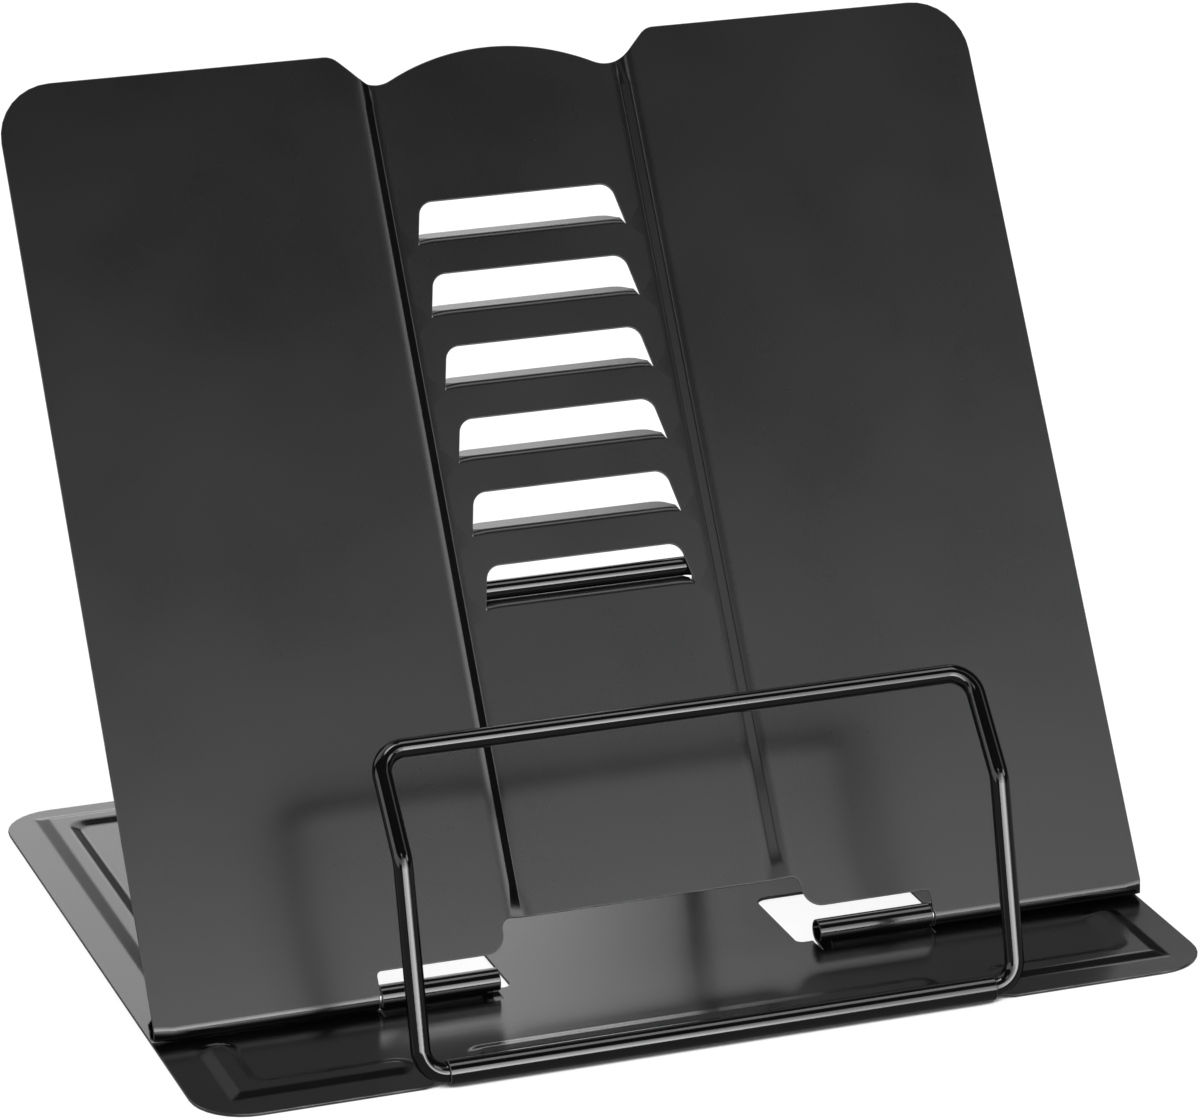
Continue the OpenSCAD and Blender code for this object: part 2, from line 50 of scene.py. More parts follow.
def add_camera():
    """Camera where the photograph was taken from, with its small roll."""
    right = CAM_LOOK.cross(Vector((0, 0, 1))).normalized()
    up = right.cross(CAM_LOOK)
    right_r = right * math.cos(CAM_ROLL) + up * math.sin(CAM_ROLL)
    up_r = up * math.cos(CAM_ROLL) - right * math.sin(CAM_ROLL)
    data = bpy.data.cameras.new("camera")
    data.lens = CAM_LENS_MM
    data.sensor_width = SENSOR_MM
    data.sensor_fit = "HORIZONTAL"
    data.clip_start = 0.01
    data.clip_end = 50
    cam = bpy.data.objects.new("camera", data)
    turn = Matrix((right_r, up_r, -CAM_LOOK)).transposed().to_4x4()
    cam.matrix_world = Matrix.Translation(CAM_AT) @ turn
    bpy.context.scene.collection.objects.link(cam)
    bpy.context.scene.camera = cam


# Node helpers
def new_material(name):
    """Material with one Principled shader: the material, its nodes, links and shader."""
    mat = bpy.data.materials.new(name)
    mat.use_nodes = True
    nodes = mat.node_tree.nodes
    nodes.clear()
    out = nodes.new("ShaderNodeOutputMaterial")
    bsdf = nodes.new("ShaderNodeBsdfPrincipled")
    mat.node_tree.links.new(bsdf.outputs[0], out.inputs[0])
    return mat, nodes, mat.node_tree.links, bsdf


def noise(nodes, scale, detail):
    """Noise texture, its scale per metre."""
    made = nodes.new("ShaderNodeTexNoise")
    made.inputs["Scale"].default_value = scale
    made.inputs["Detail"].default_value = detail
    return made


def remapped(nodes, links, source, low, high, to_low, to_high):
    """Source taken from the range low..high to the range to_low..to_high."""
    made = nodes.new("ShaderNodeMapRange")
    made.inputs["From Min"].default_value = low
    made.inputs["From Max"].default_value = high
    made.inputs["To Min"].default_value = to_low
    made.inputs["To Max"].default_value = to_high
    links.new(source, made.inputs["Value"])
    return made.outputs["Result"]


def maths(nodes, links, kind, a, b):
    """Math node of two linked values."""
    made = nodes.new("ShaderNodeMath")
    made.operation = kind
    links.new(a, made.inputs[0])
    links.new(b, made.inputs[1])
    return made.outputs[0]


def bumped(nodes, links, height, strength, distance, before=None):
    """Normal with a bump, on top of the bump before it."""
    made = nodes.new("ShaderNodeBump")
    made.inputs["Strength"].default_value = strength
    made.inputs["Distance"].default_value = distance
    links.new(height, made.inputs["Height"])
    if before is not None:
        links.new(before, made.inputs["Normal"])
    return made.outputs["Normal"]


# Materials
# noise scales are per metre, each with its detail
CLOUD, PATCHES, PEEL, SWELL = (28, 4), (160, 3), (1100, 2), (45, 1)
SPECK_SCALE = 700
COAT_IOR = 1.5
COAT_DARK, COAT_PALE = (0.001, 0.001, 0.0012, 1), (0.0025, 0.0025, 0.0028, 1)
# lighter colour of the rubbed edges: partly wear, partly a painted highlight along the cut edges
COAT_RUBBED_AND_HIGHLIT = (0.06, 0.06, 0.063, 1)
CLOUD_ROUGH, DUST_ROUGH, RUBBED_ROUGH = 0.015, 0.04, 0.08
PEEL_BUMP, BUMP_DEPTH, SWELL_DEPTH = 0.03, 0.0001, 0.0004
STEEL = (0.3, 0.3, 0.31, 1)
STEEL_LINES, LINE_STRETCH, LINE_BUMP = (2500, 3), 0.02, 0.1


def coated(name, rough, formed_rough, wave):
    """Gloss black enamel: orange peel, slow waves, dust specks, cut edges painted lighter, partly
    as wear and partly as a painted highlight.

    It is smoother where the sheet is rolled or bent.
    """
    mat, nodes, links, bsdf = new_material(name)
    bsdf.inputs["IOR"].default_value = COAT_IOR
    place = nodes.new("ShaderNodeTexCoord").outputs["Object"]
    cloud, patches, peel, swell = (noise(nodes, *k) for k in (CLOUD, PATCHES, PEEL, SWELL))
    specks = nodes.new("ShaderNodeTexVoronoi")
    specks.inputs["Scale"].default_value = SPECK_SCALE
    for texture in (cloud, patches, peel, swell, specks):
        links.new(place, texture.inputs["Vector"])
    # rubbed cut edges, worn in patches; their lighter colour is partly wear and partly a painted
    # highlight
    edge = nodes.new("ShaderNodeAttribute")
    edge.attribute_name = "edge"
    wear_and_highlight_patches = remapped(nodes, links, patches.outputs["Fac"], 0.4, 0.62, 0.25, 1.0)
    rubbed_and_highlit_edge = maths(nodes, links, "MULTIPLY", edge.outputs["Fac"], wear_and_highlight_patches)
    # colour: near black, a little lighter on the rubbed edges, partly wear and partly a painted
    # highlight
    tint = nodes.new("ShaderNodeValToRGB")
    for stop, place_at, colour in zip(tint.color_ramp.elements, (0.3, 0.7),
                                      (COAT_DARK, COAT_PALE)):
        stop.position = place_at
        stop.color = colour
    links.new(cloud.outputs["Fac"], tint.inputs["Fac"])
    mix = nodes.new("ShaderNodeMix")
    mix.data_type = "RGBA"
    mix.inputs["B"].default_value = COAT_RUBBED_AND_HIGHLIT
    links.new(rubbed_and_highlit_edge, mix.inputs["Factor"])
    links.new(tint.outputs["Color"], mix.inputs["A"])
    links.new(mix.outputs["Result"], bsdf.inputs["Base Color"])
    # roughness: cloudy, dull at dust specks and where rubbed
    formed = nodes.new("ShaderNodeAttribute")
    formed.attribute_name = "formed"
    sheen = remapped(nodes, links, formed.outputs["Fac"], 0, 1, rough, formed_rough)
    dull = remapped(nodes, links, cloud.outputs["Fac"], 0.3, 0.7, -CLOUD_ROUGH, CLOUD_ROUGH)
    dust = remapped(nodes, links, specks.outputs["Distance"], 0.05, 0.12, DUST_ROUGH, 0.0)
    rub = remapped(nodes, links, rubbed_and_highlit_edge, 0, 1, 0, RUBBED_ROUGH)
    for more in (sheen, dust, rub):
        dull = maths(nodes, links, "ADD", dull, more)
    links.new(dull, bsdf.inputs["Roughness"])
    slow = bumped(nodes, links, swell.outputs["Fac"], wave, SWELL_DEPTH)
    fine = bumped(nodes, links, peel.outputs["Fac"], PEEL_BUMP, BUMP_DEPTH, slow)
    links.new(fine, bsdf.inputs["Normal"])
    return mat


def drawn_steel(name):
    """Bare pin wire: grey steel with fine lines along its length."""
    mat, nodes, links, bsdf = new_material(name)
    bsdf.inputs["Metallic"].default_value = 1.0
    bsdf.inputs["Base Color"].default_value = STEEL
    place = nodes.new("ShaderNodeTexCoord").outputs["Object"]
    stretch = nodes.new("ShaderNodeMapping")
    stretch.inputs["Scale"].default_value = (LINE_STRETCH, 1, 1)
    links.new(place, stretch.inputs["Vector"])
    lines = noise(nodes, *STEEL_LINES)
    links.new(stretch.outputs["Vector"], lines.inputs["Vector"])
    links.new(remapped(nodes, links, lines.outputs["Fac"], 0.3, 0.7, 0.25, 0.42),
              bsdf.inputs["Roughness"])
    links.new(bumped(nodes, links, lines.outputs["Fac"], LINE_BUMP, BUMP_DEPTH),
              bsdf.inputs["Normal"])
    return mat


# Light
# world: height from straight down (0) to straight up (1), and the level from there on
SKY_LOW, SKY_HIGH, SKY_TOP = 0.3, 0.03, 8.0
SKY = ((0.0, SKY_LOW), (0.5, SKY_LOW), (0.51, SKY_HIGH), (0.9935, SKY_HIGH),
       (0.9955, SKY_TOP), (1.0, SKY_TOP))
LAMP_AIM = Vector((0, 0.03, 0.06))
LAMP_REACH = 4.0
FLOOR_HALF, FLOOR_DROP = 6.0, 0.0002
FLOOR_GREY, FLOOR_ROUGH = 0.2, 0.9
FLOOR_SEEN, FLOOR_IN_GLOSS = 0.88, 0.05
PAINTED_SHADOW_REACH = 0.004             # the floor's camera-seen glow is painted dark, as a painted contact shadow, where a sheet lies closer than this
# wall of lamps in front, brightest at the floor: the turn of each column, its level at
# the floor, and the rise in degrees over which the level falls to 1/e of that
FRONT_WALL = (
    ((-30, -15), 9.4, 17.5),
    ((-15, 0), 12.1, 19.0),
    ((0, 10), 14.3, 23.5),
    ((10, 20), 14.6, 33.5),
    ((20, 30), 8.5, 38.0),
    ((30, 40), 2.3, 40.0),
)
WALL_RISES = (0, 8, 16, 24, 30, 36)
# single lamps: name, turn, rise, level
SOFTBOXES = (
    ("front_top_left", (-30, 0), (36, 42), 0.9),
    ("front_top", (0, 10), (36, 42), 0.4),
    ("right_front", (41, 58), (21, 38), 4.6),
    ("right_side", (59, 78), (30, 60), 0.9),
    ("left_front", (-60, -31), (15, 30), 1.4),
    ("left_high", (-32, -14), (43, 52), 2.5),
    ("left_side", (-112, -61), (0, 30), 1.7),
    ("back_high", (145, 175), (24, 42), 1.7),
    ("back_low", (161, 184), (2, 23.5), 2.1),
    ("top", (55, 120), (62, 80), 3.2),
    ("back_left", (190, 240), (15, 72), 1.25),
)


def add_world():
    """Pale below the horizon, dim above it, bright straight overhead, white to the camera.

    Generated runs from -1 to 1 in Z.
    """
    world = bpy.data.worlds.new("studio")
    bpy.context.scene.world = world
    world.use_nodes = True
    nodes = world.node_tree.nodes
    links = world.node_tree.links
    nodes.clear()
    place = nodes.new("ShaderNodeTexCoord")
    split = nodes.new("ShaderNodeSeparateXYZ")
    links.new(place.outputs["Generated"], split.inputs[0])
    height = nodes.new("ShaderNodeMapRange")
    height.inputs["From Min"].default_value = -1
    height.inputs["From Max"].default_value = 1
    links.new(split.outputs["Z"], height.inputs["Value"])
    ramp = nodes.new("ShaderNodeValToRGB")
    ramp.color_ramp.interpolation = "EASE"
    stops = ramp.color_ramp.elements
    while len(stops) < len(SKY):
        stops.new(0.5)
    for stop, (place_z, level) in zip(stops, SKY):
        stop.position = place_z
        stop.color = (level, level, level, 1)
    links.new(height.outputs["Result"], ramp.inputs["Fac"])
    back, white = (nodes.new("ShaderNodeBackground") for _ in range(2))
    links.new(ramp.outputs["Color"], back.inputs["Color"])
    white.inputs["Color"].default_value = (1, 1, 1, 1)
    for background in (back, white):
        background.inputs["Strength"].default_value = 1.0
    path = nodes.new("ShaderNodeLightPath")
    mix = nodes.new("ShaderNodeMixShader")
    links.new(path.outputs["Is Camera Ray"], mix.inputs[0])
    links.new(back.outputs[0], mix.inputs[1])
    links.new(white.outputs[0], mix.inputs[2])
    out = nodes.new("ShaderNodeOutputWorld")
    links.new(mix.outputs[0], out.inputs[0])


def add_softbox(name, turn, rise, radiance):
    """Square-on rectangular lamp, unseen by the camera.

    turn and rise are the degrees that it fills as seen from the stand: turn
    from straight in front towards the right, rise from the floor up.
    """
    middle, high = (math.radians(sum(t) / 2) for t in (turn, rise))
    half_w, half_h = (math.radians(t[1] - t[0]) / 2 for t in (turn, rise))
    away = Vector((math.sin(middle) * math.cos(high), -math.cos(middle) * math.cos(high),
                   math.sin(high)))
    data = bpy.data.lights.new(name, "AREA")
    data.shape = "RECTANGLE"
    data.size = 2 * LAMP_REACH * math.tan(half_w) * math.cos(high)
    data.size_y = 2 * LAMP_REACH * math.tan(half_h)
    data.energy = radiance * math.pi * data.size * data.size_y
    lamp = bpy.data.objects.new(name, data)
    lamp.location = LAMP_AIM + away * LAMP_REACH
    lamp.rotation_euler = (-away).to_track_quat("-Z", "Y").to_euler()
    lamp.visible_camera = False
    bpy.context.scene.collection.objects.link(lamp)


def add_front_wall():
    """Wall of small lamps, its level falling off with height in each column."""
    for column, (turn, level, fall) in enumerate(FRONT_WALL):
        for row, rise in enumerate(zip(WALL_RISES, WALL_RISES[1:])):
            dimmed = level * math.exp(-sum(rise) / 2 / fall)
            add_softbox(f"front_{row}_{column}", turn, rise, dimmed)


def add_floor():
    """Floor just under the stand, white to the camera with a painted shadow right under the sheet,
    dim in the gloss.
    """
    half = FLOOR_HALF
    mesh = bpy.data.meshes.new("floor")
    mesh.from_pydata(
        [(-half, -half, 0), (half, -half, 0), (half, half, 0), (-half, half, 0)],
        [], [(0, 1, 2, 3)])
    floor = bpy.data.objects.new("floor", mesh)
    floor.location.z = -FLOOR_DROP
    bpy.context.scene.collection.objects.link(floor)
    mat, nodes, links, bsdf = new_material("floor_white")
    bsdf.inputs["Base Color"].default_value = (FLOOR_GREY, FLOOR_GREY, FLOOR_GREY, 1)
    bsdf.inputs["Roughness"].default_value = FLOOR_ROUGH
    bsdf.inputs["Specular IOR Level"].default_value = 0.0
    # white where the camera sees it, with a painted shadow right under the sheet, dim in the gloss
    path = nodes.new("ShaderNodeLightPath")
    seen = nodes.new("ShaderNodeMath")
    seen.operation = "MULTIPLY"
    seen.inputs[1].default_value = FLOOR_SEEN
    links.new(path.outputs["Is Camera Ray"], seen.inputs[0])
    # ambient occlusion paints the shadow: the camera-seen glow goes dark where a sheet lies close
    under = nodes.new("ShaderNodeAmbientOcclusion")
    under.inputs["Distance"].default_value = PAINTED_SHADOW_REACH
    clear_of_painted_shadow = remapped(nodes, links, under.outputs["AO"], 0.25, 0.4, 0, 1)
    seen_with_painted_shadow = maths(nodes, links, "MULTIPLY", seen.outputs[0], clear_of_painted_shadow)
    level = nodes.new("ShaderNodeMath")
    level.operation = "MULTIPLY_ADD"
    level.inputs[1].default_value = FLOOR_IN_GLOSS
    links.new(path.outputs["Is Glossy Ray"], level.inputs[0])
    links.new(seen_with_painted_shadow, level.inputs[2])
    bsdf.inputs["Emission Color"].default_value = (1, 1, 1, 1)
    links.new(level.outputs[0], bsdf.inputs["Emission Strength"])
    mesh.materials.append(mat)


# Sizes, in millimetres
MM = 0.001
SHEET = 0.45
ROLL_OUT = 2.4
ROLL_IN = ROLL_OUT - SHEET
ROLL_MID = ROLL_OUT - SHEET / 2
HINGE_Z = 2.95
HALF_W = 102.5
RECLINE = math.radians(31.4)
# rolled lengths, measured in the middle of the sheet
BARREL_LEN = ROLL_MID * math.radians(310)
HEM_LEN = ROLL_MID * math.radians(302)
# base plate: outline, sleeve, front and rear knuckles
BASE_FRONT, BASE_BACK, BASE_R = -37.2, 124.0, 11.0
SLEEVE_Y, SLEEVE_HALF = -36.6, 55.3
RELIEF_HALF, RELIEF_RUN, RELIEF_Y = 59.8, 3.6, -35.3
KNUCKLE = (33.2, 57.2)
RAMP_LEN, RAMP_GAP, RAMP_RISE = 3.5, 0.05, HINGE_Z - ROLL_OUT
LEG_Y, LEG_KNUCKLE = 95.0, (16.0, 34.0)
# windows of the base plate: x and y of two corners, then the corner radii
FRONT_WINDOW = (29.9, 1.6, 60.9, 25.5)
REAR_WINDOW = (12.5, 80.5, 44.0, 95.0)
WINDOW_R, WINDOW_BACK_R = 1.5, 2.7
# rib of the base plate
RIB_H, RIB_RUN, RIB_CREST = 0.65, 2.45, 2.8
RIB_FOOT = RIB_CREST / 2 + RIB_RUN
RIB_X, RIB_FRONT, RIB_BACK = 91.6, -26.7, 115.7
RIB_CORNER_R = 4.5
RIB_ENDS_X = (48.0 - RIB_FOOT, 58.5 + RIB_FOOT)
RIB_END_Y = 4.0 + RIB_FOOT
RIB_FILLET = 0.2
# back panel: faces of wing and strip, and the pressed step between them
PANEL_H, PANEL_R = 187.6, 11.5
WING_N, STRIP_N, JOGGLE_X, JOGGLE_RUN = 2.4, 0.7, 27.25, 2.2
GENTLE, BROW = math.radians(3), math.radians(13)
GENTLE_LEN, CREASE_LEN, BROW_LEN = 2.6, 0.5, 2.4
# top edge: shoulder beside each wing, valley, hump in the middle
SHOULDER, SHOULDER_R = (33.35, PANEL_H), 4
HUMP_R, HUMP_DROP, VALLEY_R = 48.0, 0.5, 6.3
# foot: high cut in the middle, low cut over each front knuckle, then the hem
CUT_HIGH, CUT_HIGH_R = (31.0, 11.15), 2
CUT_LOW, CUT_LOW_R, CUT_END_R = (57.4, 4.65), 4, 0.9
HEM_IN = 57.6
# slots and the lips bent back out of them
SLOTS = [72.4 + 15.03 * i for i in range(6)]
SLOT_H, SLOT_HALF, SLOT_TOP_HALF, SLOT_R = 8.55, 21.9, 20.1, 3
LIP_LEN, LIP_GAP, LIP_BEND_R, LIP_R = 8.2, 0.08, 1.6, 2.9
LIP_BEND = math.radians(90 - 22.7)
LIP_ARC = (LIP_BEND_R - SHEET / 2) * LIP_BEND
# wires
WIRE_R, WIRE_BEND_R, WIRE_END_R = 1.9, 5.0, 0.5
HOLDER_END, HOLDER_HALF = 15, 60.1
HOLDER_LOW, HOLDER_LOW_LEAN = 40.7, math.radians(13.4)
HOLDER_HIGH, HOLDER_HIGH_LEAN = 22.1, math.radians(42.35)
LEG_END, LEG_FOOT_HALF, LEG_TOP_HALF = 14, 40.1, 25
LEG_REACH, LEG_LEAN = 84.2752, math.radians(50.5424)
PIN_IN, PIN_OUT = 36.2, 99.5
# meshes: round of the cut edges, steps along edges, gaps between columns of points
EDGE_R = 0.2
EDGE_TURNS = [math.radians(a) for a in (30, 60, 90)]
ROLL_STEP, LIP_STEP, JOGGLE_STEP, RAMP_STEP, RIB_STEP, PLAIN_STEP = 0.27, 0.17, 0.25, 0.35, 0.6, 3.0
ROLL_GAP, LONG_ROLL_GAP, BASE_GAP, PANEL_GAP = 3, 4, 6, 7
WIRE_SIDES, WIRE_STEP, WIRE_TURN = 40, 8, 4
NEAR = 0.02


# Flat outlines
def unit(v):
    """Vector of length 1."""
    return v / np.linalg.norm(v)


def arc_points(centre, start, angle, steps):
    """Points from start round the centre by the angle."""
    d = start - centre
    out = []
    for i in range(steps + 1):
        a = angle * i / steps
        out.append(centre + np.array([d[0] * math.cos(a) - d[1] * math.sin(a),
                                      d[0] * math.sin(a) + d[1] * math.cos(a)]))
    return out


def rounded(corners, steps=8):
    """Closed outline through (x, y, radius) corners."""
    out = []
    count = len(corners)
    for i, (x, y, r) in enumerate(corners):
        p = np.array([x, y], float)
        if r == 0:
            out.append(p)
            continue
        a = np.array(corners[i - 1][:2], float)
        b = np.array(corners[(i + 1) % count][:2], float)
        u, v = unit(a - p), unit(b - p)
        half = math.acos(float(np.clip(u @ v, -1, 1))) / 2
        centre = p + unit(u + v) * r / math.sin(half)
        start, end = p + u * r / math.tan(half), p + v * r / math.tan(half)
        s, e = start - centre, end - centre
        turn = math.atan2(s[0] * e[1] - s[1] * e[0], float(s @ e))
        out += arc_points(centre, start, turn, steps)
    return out


def mirrored(corners):
    """Corners on the other side of X = 0, in the order that keeps the outline closed."""
    return [(-c[0],) + tuple(c[1:]) for c in reversed(corners)]


def wound(loop, left_turning):
    """The loop in the wanted direction."""
    area = sum(loop[i - 1][0] * loop[i][1] - loop[i][0] * loop[i - 1][1]
               for i in range(len(loop)))
    return loop if (area > 0) == left_turning else loop[::-1]


def resampled(loop, step_at):
    """The loop with every edge cut to the step wanted there."""
    out = []
    for i, b in enumerate(loop):
        a = loop[i - 1]
        length = float(np.linalg.norm(b - a))
        if length < 1e-6:
            continue
        middle = (a + b) / 2
        parts = max(1, math.ceil(length / step_at(middle[0], middle[1], b - a) - 1e-6))
        for k in range(parts):
            out.append(a + (b - a) * k / parts)
    return np.array(out)


def segments(loops):
    """Rows of x0, y0, x1, y1, one for each edge of the loops."""
    return np.concatenate([np.hstack((l, np.roll(l, -1, axis=0))) for l in loops])


def inside(points, segs):
    """Even-odd test of the points against all outlines."""
    found = np.zeros(len(points), bool)
    x0, y0, x1, y1 = segs.T
    rise = np.where(y1 == y0, 1, y1 - y0)
    for i in range(0, len(points), 2000):
        x, y = points[i:i + 2000, :1], points[i:i + 2000, 1:]
        crossed = ((y0 > y) != (y1 > y)) & (x < (x1 - x0) * (y - y0) / rise + x0)
        found[i:i + 2000] = crossed.sum(axis=1) % 2 == 1
    return found


def clearance(points, segs):
    """Distance from each point to the nearest outline."""
    near = np.zeros(len(points))
    a, run = segs[:, :2], segs[:, 2:] - segs[:, :2]
    square = np.maximum((run ** 2).sum(axis=1), 1e-12)
    for i in range(0, len(points), 1000):
        d = points[i:i + 1000, None, :] - a[None]
        t = np.clip((d * run).sum(axis=2) / square, 0, 1)
        near[i:i + 1000] = np.sqrt(((d - t[..., None] * run) ** 2).sum(axis=2).min(axis=1))
    return near


def inward(loop):
    """Step from each outline point into the sheet, mitred for one unit of inset."""
    before = loop - np.roll(loop, 1, axis=0)
    after = np.roll(loop, -1, axis=0) - loop
    normals = []
    for run in (before, after):
        length = np.linalg.norm(run, axis=1, keepdims=True)
        normals.append(np.hstack((-run[:, 1:], run[:, :1])) / length)
    total = normals[0] + normals[1]
    size = np.linalg.norm(total, axis=1, keepdims=True)
    direction = total / np.maximum(size, 1e-9)
    return direction * np.minimum(2 / np.maximum(size, 1e-9), 2.0)


def lattice(xs, ys):
    """All points of a grid."""
    gx, gy = np.meshgrid(np.array(xs), np.array(ys))
    return np.column_stack((gx.ravel(), gy.ravel()))


def filled(marks, low, high, gap):
    """Sorted marks with no gap larger than the one given."""
    marks = sorted(m for m in set(round(m, 4) for m in marks) if low < m < high)
    kept = [low]
    for m in marks + [high]:
        if m - kept[-1] < 0.05:
            continue
        parts = math.ceil((m - kept[-1]) / gap)
        start = kept[-1]
        kept += [start + (m - start) * k / parts for k in range(1, parts + 1)]
    return kept


# Sheet from its flat blank
def sheet_object(name, outer, holes, points, shape, formed, step_at, spacing=0.22):
    """Sheet with rounded edges, formed from its flat blank.

    shape(x, y) gives the place and the normal of the front face over a point
    of the blank; the back face lies one sheet thickness behind it. formed(x, y)
    is 1 where the sheet is rolled or bent, and its coat pulled smoother.
    """
    loops = [resampled(wound(outer, True), step_at)]
    loops += [resampled(wound(h, False), step_at) for h in holes]
    steps = [inward(l) for l in loops]
    inset = [l + s * EDGE_R for l, s in zip(loops, steps)]
    segs = segments(inset)
    points = points[inside(points, segs)]
    points = points[clearance(points, segs) > spacing]
    flat = np.concatenate(inset + [points])
    edges, start = [], 0
    for loop in inset:
        count = len(loop)
        edges += [(start + i, start + (i + 1) % count) for i in range(count)]
        start += count
    result = delaunay_2d_cdt([Vector(p) for p in flat], edges, [], 0, 1e-5, True)
    flat_out = np.array([tuple(v) for v in result[0]])
    triangles = np.array([f for f in result[2] if len(f) == 3])
    middles = flat_out[triangles].mean(axis=1)
    triangles = triangles[inside(middles, segs)]
    place = np.full(len(flat), -1)
    for out_index, sources in enumerate(result[3]):
        for source in sources:
            place[source] = out_index
    front, normal = shape(flat_out[:, 0], flat_out[:, 1])
    a, b, c = (front[triangles[:, k]] for k in range(3))
    facing = (np.cross(b - a, c - a) * normal[triangles[:, 0]]).sum(axis=1)
    triangles[facing < 0] = triangles[facing < 0][:, ::-1]
    total = len(front)
    verts = [front, front - normal * SHEET]
    norms = [normal, -normal]
    edge_mark = [np.zeros(total), np.zeros(total)]
    bend_mark = [formed(flat_out[:, 0], flat_out[:, 1])] * 2
    faces = triangles.tolist() + (triangles[:, ::-1] + total).tolist()
    start, top = 0, 2 * total
    for loop, step in zip(loops, steps):
        count = len(loop)
        inner, inner_n = shape(*(loop + step * EDGE_R).T)
        outer_p, _ = shape(*(loop + step * EDGE_R * 0.25).T)
        out_way = outer_p - inner
        out_way /= np.maximum(np.linalg.norm(out_way, axis=1, keepdims=True), 1e-9)
        rows = [place[start:start + count]]
        for side in (1, -1):
            for a in EDGE_TURNS[::side]:
                at = inner + out_way * EDGE_R * math.sin(a) * np.linalg.norm(
                    step, axis=1, keepdims=True)
                depth = EDGE_R * (1 - math.cos(a))
                if side == -1:
                    depth = SHEET - depth
                verts.append(at - inner_n * depth)
                norms.append(inner_n * side * math.cos(a) + out_way * math.sin(a))
                edge_mark.append(np.ones(count))
                bend_mark.append(formed(*loop.T))
                rows.append(np.arange(top, top + count))
                top += count
        rows.append(place[start:start + count] + total)
        for upper, lower in zip(rows, rows[1:]):
            for i in range(count):
                k = (i + 1) % count
                faces.append((int(upper[k]), int(upper[i]), int(lower[i]), int(lower[k])))
        start += count
    marks = {"edge": np.concatenate(edge_mark), "formed": np.concatenate(bend_mark)}
    return smooth_object(name, np.concatenate(verts), faces, np.concatenate(norms), marks)


def smooth_object(name, verts, faces, normals, marks):
    """Object with the given normals, and one mesh attribute for each mark."""
    mesh = bpy.data.meshes.new(name)
    mesh.from_pydata((verts * MM).tolist(), [], faces)
    mesh.validate()
    mesh.update()
    mesh.polygons.foreach_set("use_smooth", [True] * len(mesh.polygons))
    for mark, values in marks.items():
        layer = mesh.attributes.new(mark, "FLOAT", "POINT")
        layer.data.foreach_set("value", values.astype(np.float32))
    size = np.linalg.norm(normals, axis=1, keepdims=True)
    mesh.normals_split_custom_set_from_vertices((normals / np.maximum(size, 1e-9)).tolist())
    obj = bpy.data.objects.new(name, mesh)
    bpy.context.scene.collection.objects.link(obj)
    return obj


# Base plate
def smooth_ramp(u):
    """0 to 1 with a round at each end."""
    f = RIB_FILLET
    low = (u + f) ** 2 / (4 * f)
    high = 1 - (1 + f - u) ** 2 / (4 * f)
    return np.where(u < -f, 0, np.where(u < f, low, np.where(u < 1 - f, u,
                    np.where(u < 1 + f, high, 1))))


def rib_height(x, y):
    """Height of the rib over the flat sheet, from 0 to RIB_H."""
    ax = np.abs(x)
    across = np.minimum(RIB_X + RIB_FOOT - ax,
                        np.minimum(y - RIB_FRONT + RIB_FOOT, RIB_BACK + RIB_FOOT - y))
    outer = smooth_ramp(across / RIB_RUN)
    foot_r = RIB_CORNER_R - RIB_RUN
    inset = RIB_CREST / 2 + RIB_CORNER_R
    mid_y = (RIB_FRONT + RIB_BACK) / 2
    qx = ax - (RIB_X - inset)
    qy = np.abs(y - mid_y) - ((RIB_BACK - RIB_FRONT) / 2 - inset)
    out = np.hypot(np.maximum(qx, 0), np.maximum(qy, 0)) + np.minimum(np.maximum(qx, qy), 0)
    inner = smooth_ramp((out - foot_r) / RIB_RUN)
    height = np.minimum(outer, inner)

    # round ends where the rib stops beside the sleeve and under the panel
    def cone(cx, cy):
        return smooth_ramp((RIB_FOOT - np.hypot(ax - cx, y - cy)) / RIB_RUN)

    reach = RIB_FOOT + 1
    front_break = ((np.abs(y - RIB_FRONT) < reach) & (ax > RIB_ENDS_X[0])
                   & (ax < RIB_ENDS_X[1]))
    side_break = (np.abs(ax - RIB_X) < reach) & (np.abs(y) < RIB_END_Y)
    height = np.where(front_break, np.maximum(cone(RIB_ENDS_X[0], RIB_FRONT),
                                              cone(RIB_ENDS_X[1], RIB_FRONT)), height)
    height = np.where(side_break, np.maximum(cone(RIB_X, RIB_END_Y),
                                             cone(RIB_X, -RIB_END_Y)), height)
    return RIB_H * height


def stacked(x, y, z):
    """Rows of x, y, z."""
    return np.column_stack(np.broadcast_arrays(x, y, z)).astype(float)


def within(ax, span, room=NEAR):
    """Whether the distance from the middle lies in the span or just beside it."""
    return (ax > span[0] - room) & (ax < span[1] + room)


